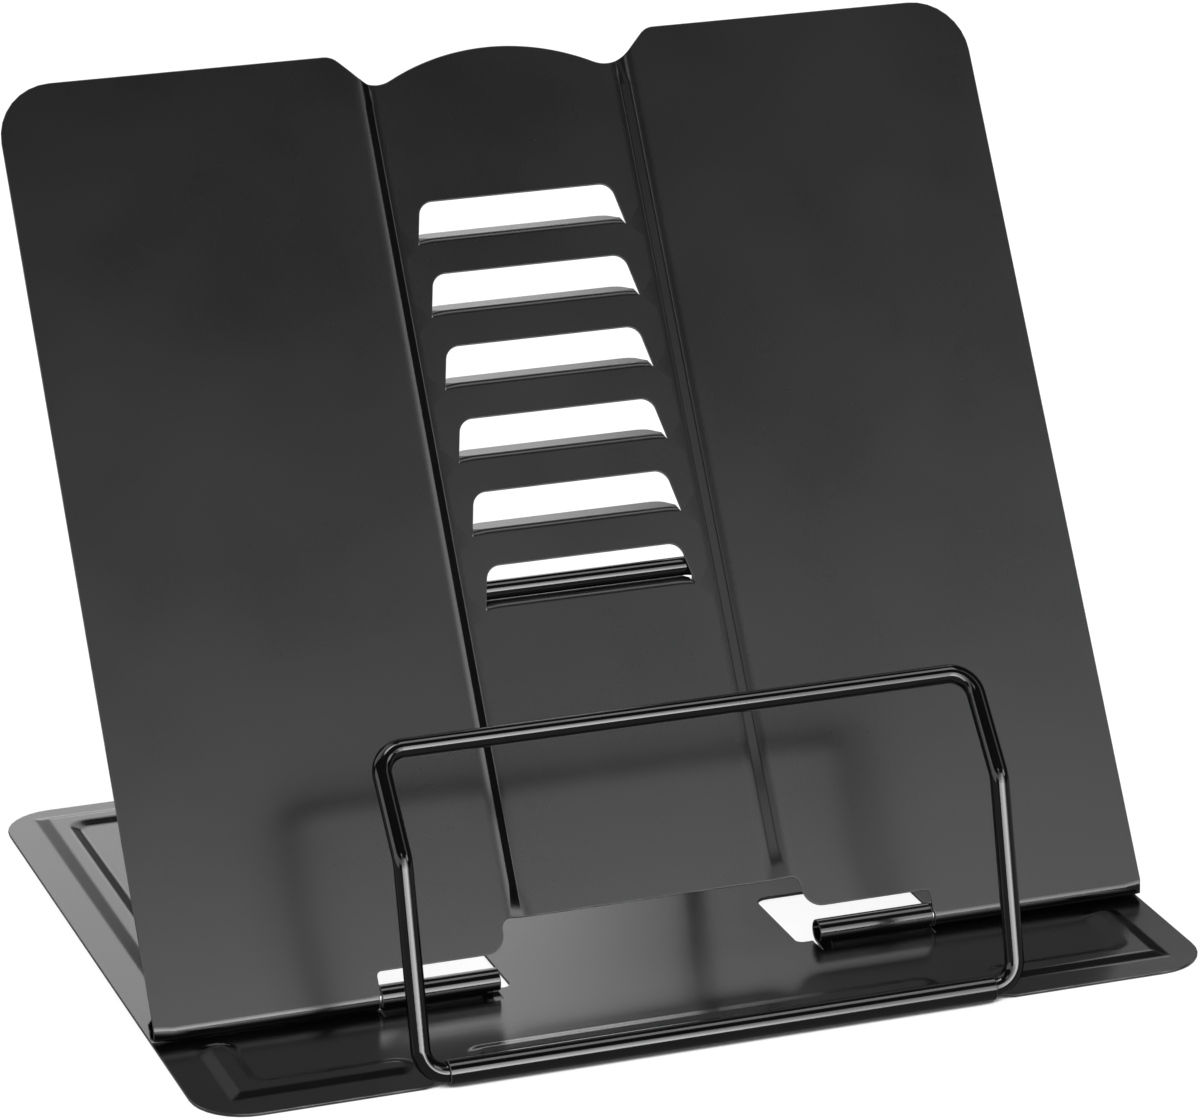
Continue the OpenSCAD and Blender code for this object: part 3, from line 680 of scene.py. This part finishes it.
def base_shape(x, y):
    """Top face of the base plate over its blank."""
    ax = np.abs(x)
    e = 0.03
    slope_x = (rib_height(x + e, y) - rib_height(x - e, y)) / (2 * e)
    slope_y = (rib_height(x, y + e) - rib_height(x, y - e)) / (2 * e)
    place = stacked(x, y, SHEET + rib_height(x, y))
    normal = stacked(-slope_x, -slope_y, 1.0)
    in_knuckle = within(ax, KNUCKLE)
    # ramp of the front knuckles
    t = np.clip((y + RAMP_LEN) / RAMP_LEN, 0, 1)
    on_ramp = in_knuckle & (y > -RAMP_LEN) & (y <= 0)
    rise = RAMP_RISE * t * t * (3 - 2 * t)
    steep = RAMP_RISE * 6 * t * (1 - t) / RAMP_LEN
    place[on_ramp] = stacked(x, y, SHEET + rise)[on_ramp]
    normal[on_ramp] = stacked(0 * x, -steep, 1.0)[on_ramp]
    # front knuckles, rolled backward and up
    rolled = in_knuckle & (y > 0) & (y < BARREL_LEN + 0.05)
    a = y / ROLL_MID
    place[rolled] = stacked(x, ROLL_IN * np.sin(a), HINGE_Z - ROLL_IN * np.cos(a))[rolled]
    normal[rolled] = stacked(0 * x, -np.sin(a), np.cos(a))[rolled]
    # sleeve and leg knuckles, rolled forward and up
    for axis_y, here in (
            (SLEEVE_Y, (ax < SLEEVE_HALF + NEAR) & (y < SLEEVE_Y)),
            (LEG_Y, within(ax, LEG_KNUCKLE) & (y < LEG_Y) & (y > LEG_Y - BARREL_LEN - 0.05))):
        a = (axis_y - y) / ROLL_MID
        place[here] = stacked(x, axis_y - ROLL_IN * np.sin(a),
                              ROLL_OUT - ROLL_IN * np.cos(a))[here]
        normal[here] = stacked(0 * x, np.sin(a), np.cos(a))[here]
    normal /= np.linalg.norm(normal, axis=1, keepdims=True)
    return place, normal


def base_formed(x, y):
    """1 on the sleeve and the knuckles."""
    ax = np.abs(x)
    front = within(ax, KNUCKLE) & (np.abs(y - 4.5) < 7.9)
    rear = within(ax, LEG_KNUCKLE) & (np.abs(y - LEG_Y + 6.5) < 7)
    sleeve = (ax < SLEEVE_HALF + NEAR) & (y < SLEEVE_Y + 0.3)
    return (front | rear | sleeve).astype(float)


def roll_rows(start, length):
    """Rows of points round a roll, from its start in the flat sheet."""
    rows = round(abs(length) / ROLL_STEP)
    return [start + length * i / rows for i in range(rows + 1)]


def base_outlines():
    """Outer outline and holes of the base plate's blank."""
    right = [(HALF_W, BASE_BACK, BASE_R), (HALF_W, BASE_FRONT, BASE_R),
             (RELIEF_HALF, BASE_FRONT, 0), (RELIEF_HALF - RELIEF_RUN, RELIEF_Y, 0),
             (SLEEVE_HALF, RELIEF_Y, 0), (SLEEVE_HALF, SLEEVE_Y - BARREL_LEN, 0)]
    x0, y0, x1, y1 = FRONT_WINDOW
    k0, k1 = KNUCKLE
    front = [(x0, y0, WINDOW_R), (k0 - RAMP_GAP, y0, 0), (k0 - RAMP_GAP, -RAMP_LEN, 0),
             (k0, -RAMP_LEN, 0), (k0, BARREL_LEN, 0), (k1, BARREL_LEN, 0),
             (k1, -RAMP_LEN, 0), (k1 + RAMP_GAP, -RAMP_LEN, 0), (k1 + RAMP_GAP, y0, 0),
             (x1, y0, WINDOW_R), (x1, y1, WINDOW_BACK_R), (x0, y1, WINDOW_BACK_R)]
    x0, y0, x1, y1 = REAR_WINDOW
    k0, k1 = LEG_KNUCKLE
    tip = LEG_Y - BARREL_LEN
    rear = [(x0, y0, WINDOW_R), (x1, y0, WINDOW_R), (x1, y1, WINDOW_R), (k1, y1, 0),
            (k1, tip, 0), (k0, tip, 0), (k0, y1, 0), (x0, y1, WINDOW_R)]
    holes = [rounded(c) for c in (front, mirrored(front), rear, mirrored(rear))]
    return rounded(right + mirrored(right)), holes


def base_grid():
    """Points of the flat base plate, dense at the rib, none near the rolls."""
    across = [s * d for s in (1, -1) for d in (4.34, 4.1, 3.85, 3.6, 3.36, 2.6, 1.9, 1.65,
                                               1.4, 1.15, 0.9, 0)]
    corner = [0.9 + RIB_STEP * i for i in range(14)]
    inner = [-c for c in corner]
    round_end = [RIB_STEP * d for d in range(-7, 8)]
    xs = [s * (RIB_X + d) for s in (1, -1) for d in across + inner]
    xs += [s * (e + d) for s in (1, -1) for e in RIB_ENDS_X for d in round_end]
    ys = [RIB_FRONT + d for d in across + corner] + [RIB_BACK + d for d in across + inner]
    ys += [s * (RIB_END_Y + d) for s in (1, -1) for d in round_end]
    grid = lattice(filled(xs, -HALF_W, HALF_W, BASE_GAP),
                   filled(ys, BASE_FRONT, BASE_BACK, BASE_GAP))
    ax, y = np.abs(grid[:, 0]), grid[:, 1]
    front = within(ax, KNUCKLE, 0.3) & (y > -RAMP_LEN - 2.5) & (y < BARREL_LEN + 1.2)
    rear = within(ax, LEG_KNUCKLE, 0.5) & (y > LEG_Y - BARREL_LEN - 1.2) & (y < LEG_Y + 2.9)
    sleeve = (ax < SLEEVE_HALF + 0.7) & (y < SLEEVE_Y + 3.4)
    return grid[~(front | rear | sleeve)]


def base_plate_object():
    """Pressed base plate; each roll's columns run on into the flat sheet beside it."""
    outer, holes = base_outlines()
    parts = [base_grid()]
    ramp_rows = [-RAMP_LEN + RAMP_STEP * i for i in range(-3, 10)]
    for s in (1, -1):
        parts.append(lattice([s * x for x in filled([], *KNUCKLE, ROLL_GAP)],
                             ramp_rows + roll_rows(0, BARREL_LEN)))
        parts.append(lattice([s * x for x in filled([], *LEG_KNUCKLE, ROLL_GAP)],
                             [LEG_Y + 1.6, LEG_Y + 0.8] + roll_rows(LEG_Y, -BARREL_LEN)))
    parts.append(lattice(filled([], -SLEEVE_HALF, SLEEVE_HALF, LONG_ROLL_GAP),
                         [SLEEVE_Y + d for d in (2.2, 1.5, 0.8)]
                         + roll_rows(SLEEVE_Y, -BARREL_LEN)))

    def step_at(x, y, run):
        ax = abs(x)
        flap = ((within(ax, KNUCKLE, 0.01) and -RAMP_LEN - 0.1 < y < 12)
                or (within(ax, LEG_KNUCKLE, 0.01) and 83 < y < LEG_Y)
                or y < SLEEVE_Y)
        return ROLL_STEP if flap and abs(run[1]) > abs(run[0]) else PLAIN_STEP

    return sheet_object("base_plate_pressed", outer, holes, np.concatenate(parts),
                        base_shape, base_formed, step_at)


# Back panel
def strip_profile():
    """Half section of the front face: x, n and the turn of the face, from the middle."""
    start = 20.0
    total = WING_N - STRIP_N
    steep = math.atan2(total, JOGGLE_RUN)
    # length of each stage and the turn of the face at its two ends
    stages = [(GENTLE_LEN, 0, GENTLE), (CREASE_LEN, GENTLE, steep), (None, steep, steep),
              (CREASE_LEN, steep, BROW), (BROW_LEN, BROW, 0)]
    drop = 0.0
    for length, a, b in stages:
        if length is not None:
            drop += sum(length / 40 * math.sin(a + (b - a) * (i + 0.5) / 40) for i in range(40))
    straight = (total - drop) / math.sin(steep)
    xs, ns, turns = [0.0, start], [STRIP_N, STRIP_N], [0.0, 0.0]
    for length, a, b in stages:
        length = straight if length is None else length
        steps = 12
        for i in range(steps):
            mid = a + (b - a) * (i + 0.5) / steps
            xs.append(xs[-1] + length / steps * math.cos(mid))
            ns.append(ns[-1] + length / steps * math.sin(mid))
            turns.append(a + (b - a) * (i + 1) / steps)
    shift = JOGGLE_X - float(np.interp((WING_N + STRIP_N) / 2, ns, xs))
    xs = [xs[0]] + [x + shift for x in xs[1:]]
    return (np.array(xs + [HALF_W + 2]), np.array(ns + [WING_N]), np.array(turns + [0.0]))


PROFILE = strip_profile()


def lip_half(rise):
    """Half width of a lip's blank at a height over its slot's lower edge."""
    return SLOT_HALF - LIP_GAP - (SLOT_HALF - SLOT_TOP_HALF) * rise / SLOT_H


def on_lip(ax, rise):
    """Whether points of the blank lie on a lip, or less than half its gap beside it."""
    near = LIP_GAP / 2
    lean = math.atan2(SLOT_HALF - SLOT_TOP_HALF, SLOT_H)
    centre_y = LIP_LEN - LIP_R
    centre_x = float(lip_half(centre_y)) - LIP_R / math.cos(lean)
    past = np.hypot(ax - centre_x, rise - centre_y) > LIP_R + near
    corner = (ax > centre_x) & (rise > centre_y) & past
    return ((rise > 0) & (rise < LIP_LEN + near) & (ax < lip_half(rise) + near) & ~corner)


def panel_shape(x, s):
    """Front face of the back panel over its blank, s up along the panel."""
    ax = np.abs(x)
    n = np.interp(ax, PROFILE[0], PROFILE[1])
    turn = np.interp(ax, PROFILE[0], PROFILE[2])
    at_s, at_n = s.astype(float).copy(), n.copy()
    nx = -np.sin(turn) * np.sign(x)
    ns, nn = np.zeros_like(n), np.cos(turn)
    hem = s < 0
    a = -s / ROLL_MID
    at_s = np.where(hem, -ROLL_OUT * np.sin(a), at_s)
    at_n = np.where(hem, ROLL_OUT * np.cos(a), at_n)
    ns = np.where(hem, -np.sin(a), ns)
    nn = np.where(hem, np.cos(a), nn)
    for low in SLOTS:
        rise = s - low
        lip = on_lip(ax, rise)
        a = np.clip(rise / (LIP_BEND_R - SHEET / 2), 0, LIP_BEND)
        past = np.maximum(rise - LIP_ARC, 0)
        at_s = np.where(lip, low + LIP_BEND_R * np.sin(a) + past * math.cos(LIP_BEND), at_s)
        at_n = np.where(lip, STRIP_N - LIP_BEND_R + LIP_BEND_R * np.cos(a)
                        - past * math.sin(LIP_BEND), at_n)
        nx = np.where(lip, 0, nx)
        ns = np.where(lip, np.sin(a), ns)
        nn = np.where(lip, np.cos(a), nn)
    sin_r, cos_r = math.sin(RECLINE), math.cos(RECLINE)
    place = stacked(x, at_s * sin_r - at_n * cos_r, HINGE_Z + at_s * cos_r + at_n * sin_r)
    normal = stacked(nx, ns * sin_r - nn * cos_r, ns * cos_r + nn * sin_r)
    return place, normal


def panel_formed(x, s):
    """1 on the rolled hems, a little on the pressed steps."""
    ax = np.abs(x)
    hem = np.clip(-s / 1.5, 0, 1)
    bend = 0.3 * np.clip((2.4 - np.abs(ax - JOGGLE_X)) / 0.8, 0, 1)
    return np.maximum(hem, bend)


def top_edge():
    """Right half of the top edge, from the shoulder to the middle of the hump."""
    slope = np.array([math.cos(math.radians(45)), math.sin(math.radians(45))])
    hump = np.array([0, PANEL_H - HUMP_DROP - HUMP_R])
    base = np.array(SHOULDER) + VALLEY_R * np.array([-slope[1], slope[0]]) - hump
    along = float(base @ slope)
    back = along - math.sqrt(along ** 2 - float(base @ base) + (HUMP_R + VALLEY_R) ** 2)
    valley = hump + base - back * slope
    start = valley + VALLEY_R * np.array([slope[1], -slope[0]])
    end = valley + VALLEY_R * unit(hump - valley)
    s, e = start - valley, end - valley
    turn = math.atan2(s[0] * e[1] - s[1] * e[0], float(s @ e))
    half = math.atan2(end[0] - hump[0], end[1] - hump[1])
    points = arc_points(valley, start, turn, 10)
    steps = 24
    for i in range(1, steps):
        a = half * (1 - i / steps)
        points.append(hump + HUMP_R * np.array([math.sin(a), math.cos(a)]))
    return points


def panel_outlines():
    """Outer outline and slots of the back panel's blank, less the lips left in the slots."""
    below = (SHOULDER[0] - 1, SHOULDER[1] - 1)
    low = [(0, CUT_HIGH[1], 0), CUT_HIGH + (CUT_HIGH_R,), (CUT_HIGH[0], CUT_LOW[1], CUT_LOW_R),
           CUT_LOW + (CUT_END_R,), (CUT_LOW[0], 0, 0), (HEM_IN, 0, 0), (HEM_IN, -HEM_LEN, 0),
           (HALF_W, -HEM_LEN, 0), (HALF_W, PANEL_H, PANEL_R), SHOULDER + (SHOULDER_R,),
           below + (0,)]
    right = rounded(low)[1:-1] + top_edge()
    left = [np.array([-p[0], p[1]]) for p in reversed(right)]
    root, tip = lip_half(0), lip_half(LIP_LEN)
    holes = []
    for s in SLOTS:
        half = [(SLOT_TOP_HALF, s + SLOT_H, SLOT_R), (SLOT_HALF, s, 0), (root, s, 0),
                (tip, s + LIP_LEN, LIP_R)]
        holes.append(rounded(half + mirrored(half), 10))
    return right + [np.array([0, PANEL_H - HUMP_DROP])] + left, holes


def panel_grid():
    """Points of the flat panel, dense at the pressed steps, none near the bends."""
    bend = list(PROFILE[0][2:-1:2])
    xs = [sgn * v for sgn in (1, -1) for v in bend + [HEM_IN, 60]] + [0]
    rows = [s + d for s in SLOTS for d in (-3, 9.2, 11.5)]
    rows += [0, 1.5, CUT_LOW[1], CUT_HIGH[1]]
    grid = lattice(filled(xs, -HALF_W, HALF_W, PANEL_GAP), filled(rows, 0, PANEL_H, PANEL_GAP))
    ax, up = np.abs(grid[:, 0]), grid[:, 1]
    left_out = (ax > HEM_IN - 0.5) & (up < 3.9)
    for s in SLOTS:
        left_out |= (ax < SLOT_HALF + 0.3) & (up > s - 2.9) & (up < s + 9)
    return grid[~left_out]


def back_panel_object():
    """Pressed back panel; the columns of lips and hems run on into the flat sheet."""
    outer, holes = panel_outlines()
    parts = [panel_grid()]
    root = lip_half(0)
    lip_rows = [-1.6, -0.8] + [LIP_ARC * i / 10 for i in range(11)] + [2.6, 4, 5.6, 7]
    for s in SLOTS:
        parts.append(lattice(filled([], -root, root, ROLL_GAP), [s + r for r in lip_rows]))
    for sgn in (1, -1):
        parts.append(lattice([sgn * x for x in filled([], HEM_IN, HALF_W, LONG_ROLL_GAP)],
                             [3, 2, 1] + roll_rows(0, -HEM_LEN)))

    def step_at(x, s, run):
        if s < 0.01 and abs(run[1]) > abs(run[0]):
            return ROLL_STEP
        for low_s in SLOTS:
            if abs(x) < lip_half(s - low_s) + 0.05 and -0.01 < s - low_s < 2.4:
                return LIP_STEP
        if 22 < abs(x) < 32 and abs(run[0]) > abs(run[1]):
            return JOGGLE_STEP
        return PLAIN_STEP

    return sheet_object("back_panel_pressed", outer, holes, np.concatenate(parts),
                        panel_shape, panel_formed, step_at, 0.12)


# Wires
def bent_line(corners, radius):
    """Points along a line through the corners, with a round at each inner one."""
    corners = [Vector(c) for c in corners]
    out = [corners[0]]
    for a, p, b in zip(corners, corners[1:], corners[2:]):
        u, v = (a - p).normalized(), (b - p).normalized()
        half = u.angle(v) / 2
        centre = p + (u + v).normalized() * radius / math.sin(half)
        start = p + u * radius / math.tan(half)
        sweep = math.pi - 2 * half
        axis = (start - centre).cross(p + v * radius / math.tan(half) - centre).normalized()
        steps = max(3, round(math.degrees(sweep) / WIRE_TURN))
        for i in range(steps + 1):
            out.append(centre + Matrix.Rotation(sweep * i / steps, 3, axis) @ (start - centre))
    return out + [corners[-1]]


def wire_object(name, corners):
    """Round wire along the bent line, its two ends cut and slightly rounded."""
    line = bent_line(corners, WIRE_BEND_R)
    dense = [line[0]]
    for b in line[1:]:
        a = dense[-1]
        parts = max(1, math.ceil((b - a).length / WIRE_STEP))
        dense += [a.lerp(b, k / parts) for k in range(1, parts + 1)]
    tangents = []
    for i in range(len(dense)):
        before = dense[max(i - 1, 0)]
        after = dense[min(i + 1, len(dense) - 1)]
        tangents.append((after - before).normalized())
    side = tangents[0].orthogonal().normalized()
    verts, norms, marks, rings = [], [], [], []

    def ring(at, along, size, out_turn, mark):
        first = len(verts)
        other = along.cross(side)
        for k in range(WIRE_SIDES):
            a = 2 * math.pi * k / WIRE_SIDES
            out = side * math.cos(a) + other * math.sin(a)
            verts.append(at + out * size)
            norms.append(out * math.cos(out_turn) + along * math.sin(out_turn))
            marks.append(mark)
        rings.append(range(first, first + WIRE_SIDES))

    def end_rings(at, along, way, turns):
        for a in turns:
            inset = WIRE_END_R * (1 - math.sin(a))
            size = WIRE_R - WIRE_END_R * (1 - math.cos(a))
            ring(at - along * way * inset, along, size, way * a, 1.0)

    end_rings(dense[0], tangents[0], -1, EDGE_TURNS[::-1])
    for i, p in enumerate(dense):
        if i:
            side = tangents[i - 1].rotation_difference(tangents[i]) @ side
        at = p
        if i == 0:
            at = p + tangents[0] * WIRE_END_R
        elif i == len(dense) - 1:
            at = p - tangents[-1] * WIRE_END_R
        ring(at, tangents[i], WIRE_R, 0.0, 0.0)
    end_rings(dense[-1], tangents[-1], 1, EDGE_TURNS)
    faces = []
    for low, high in zip(rings, rings[1:]):
        for k in range(WIRE_SIDES):
            m = (k + 1) % WIRE_SIDES
            faces.append((low[k], low[m], high[m], high[k]))
    faces.append(tuple(reversed(rings[0])))
    faces.append(tuple(rings[-1]))
    return smooth_object(name, np.array([tuple(v) for v in verts]), faces,
                         np.array([tuple(v) for v in norms]), {"edge": np.array(marks)})


def leaned(lean):
    """Unit vector up along a wire that leans back from the upright."""
    return Vector((0, math.sin(lean), math.cos(lean)))


def page_holder_object():
    """Loop that leans towards the panel in two steps, its ends turned into the sleeve."""
    foot = Vector((0, SLEEVE_Y, ROLL_OUT))
    kink = foot + leaned(HOLDER_LOW_LEAN) * HOLDER_LOW
    top = kink + leaned(HOLDER_HIGH_LEAN) * HOLDER_HIGH
    across = Vector((HOLDER_HALF, 0, 0))
    right = [foot + Vector((HOLDER_END, 0, 0)), foot + across, kink + across, top + across]
    left = [Vector((-p.x, p.y, p.z)) for p in reversed(right)]
    return wire_object("page_holder_wire", right + left)


def support_leg_object():
    """Two splayed legs and a top bar, the feet turned into the rear knuckles."""
    foot = Vector((0, LEG_Y, ROLL_OUT))
    top = foot + Vector((0, -math.cos(LEG_LEAN), math.sin(LEG_LEAN))) * LEG_REACH
    right = [foot + Vector((LEG_END, 0, 0)), foot + Vector((LEG_FOOT_HALF, 0, 0)),
             top + Vector((LEG_TOP_HALF, 0, 0))]
    left = [Vector((-p.x, p.y, p.z)) for p in reversed(right)]
    return wire_object("support_leg_wire", right + left)


def pin_object(name, sign):
    """Straight pin on the side given by the sign."""
    return wire_object(name, [(sign * x, 0, HINGE_Z) for x in (PIN_IN, PIN_OUT)])


# Pieces
def give(obj, mat):
    """The object's only material."""
    obj.data.materials.clear()
    obj.data.materials.append(mat)


def dress(piece, body, node, mat):
    """Put a visible piece on its body in place of its CAD node."""
    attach(piece, body)
    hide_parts(node)
    give(piece, mat)


# roughness of flat and rolled parts, then strength of the slow waves
MAT_BASE = coated("coat_base", 0.2, 0.11, 0.02)
MAT_PANEL = coated("coat_panel", 0.28, 0.09, 0.02)
MAT_WIRE = coated("coat_wire", 0.07, 0.07, 0.05)
MAT_PIN = drawn_steel("pin_steel")
for node in NODES.values():
    give(node, MAT_WIRE)
dress(base_plate_object(), "base", "base_plate", MAT_BASE)
dress(back_panel_object(), "panel", "back_panel", MAT_PANEL)
dress(page_holder_object(), "holder", "page_holder", MAT_WIRE)
dress(support_leg_object(), "leg", "support_leg", MAT_WIRE)
dress(pin_object("pin_wire_left", -1), "base", "hinge_pin_left", MAT_PIN)
dress(pin_object("pin_wire_right", 1), "base", "hinge_pin_right", MAT_PIN)

add_camera()
add_world()
for softbox in SOFTBOXES:
    add_softbox(*softbox)
add_front_wall()
add_floor()
bpy.context.scene.view_settings.view_transform = "Standard"
